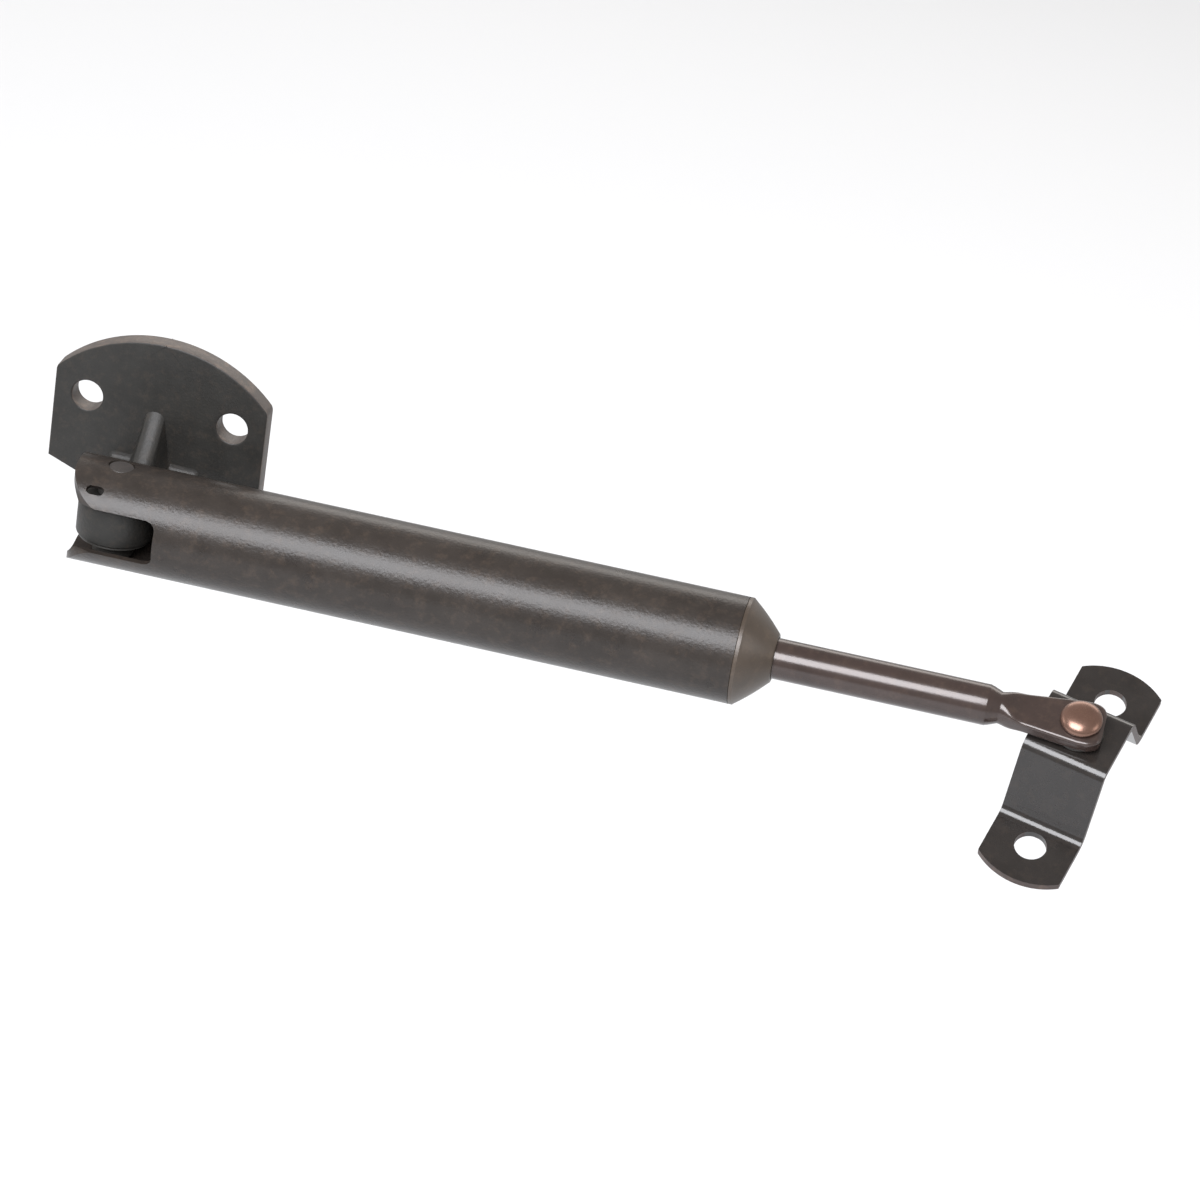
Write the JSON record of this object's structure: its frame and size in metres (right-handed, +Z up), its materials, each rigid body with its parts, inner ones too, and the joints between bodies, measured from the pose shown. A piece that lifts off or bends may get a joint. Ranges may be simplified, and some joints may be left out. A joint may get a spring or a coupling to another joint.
{
  "type": "door closer",
  "caption": "Tubular spring-and-oil door or gate closer: slotted barrel pinned to a D-shaped wall plate, sliding rod, pivoting pipe saddle.",
  "frame": {"origin": "on the wall plate's back face, midway between its two screw holes", "axes": "+Y into the wall, square to the plate; +Z up, along the pivot pin; +X along the wall, towards the saddle end"},
  "size_m": [0.3574, 0.0779, 0.0902],
  "materials": {
    "bracket_black": "satin black oxide, worn to brown-grey on cut edges",
    "barrel_black": "satin black phosphate",
    "nose_brown": "browned turned steel",
    "rod_bronzed": "bronze-brown polished steel",
    "copper": "coppered steel, polished dome",
    "strap_black": "gloss black",
    "bare_steel": "bare turned steel",
    "spring_steel": "oiled spring wire",
    "bronze": "sintered bronze",
    "rubber": "black nitrile",
    "ring_plastic": "acetal"
  },
  "bodies": {
    "bracket": {"mounting_bracket": "bracket_black", "knuckle_boss": "bracket_black", "knuckle_bush": "bronze"},
    "barrel": {"barrel_tube": "barrel_black", "pivot_pin": "barrel_black", "thrust_washer_upper": "bare_steel", "thrust_washer_lower": "bare_steel", "pin_spacer_upper": "bare_steel", "pin_spacer_lower": "bare_steel", "rear_plug": "bare_steel", "rear_o_ring": "rubber", "nose_cap": "nose_brown", "nose_o_ring": "rubber", "rod_bush": "bronze", "rod_seal": "rubber", "seal_washer": "bare_steel", "return_spring": "spring_steel"},
    "spring_follower": {"spring_seat": "bare_steel"},
    "rod": {"piston_rod": "rod_bronzed", "piston": "bare_steel", "piston_ring": "ring_plastic", "valve_disc": "bare_steel", "piston_washer": "bare_steel", "rod_nut": "bare_steel", "saddle_rivet": "copper", "rivet_washer": "bare_steel"},
    "saddle": {"saddle_strap": "strap_black"}
  },
  "joints": [
    {"name": "barrel_swing", "type": "hinge", "parent": "bracket", "child": "barrel", "pos_m": [-0.0018, -0.03635, -0.0225], "axis": [0, 0, 1], "range_deg": [-100, 10]},
    {"name": "rod_slide", "type": "slide", "parent": "barrel", "child": "spring_follower", "axis": [-0.9994, -0.0349, 0], "range_m": [0, 0.06], "stiffness_N_per_m": 1800, "springref_m": -0.03, "deforming": ["return_spring"]},
    {"name": "rod_twist", "type": "hinge", "parent": "spring_follower", "child": "rod", "pos_m": [0.1681, -0.03042, -0.0225], "axis": [0.9994, 0.0349, 0], "continuous": true},
    {"name": "saddle_pivot", "type": "hinge", "parent": "rod", "child": "saddle", "pos_m": [0.30201, -0.02574, -0.0225], "axis": [0.0158, -0.4537, 0.891], "continuous": true}
  ]
}
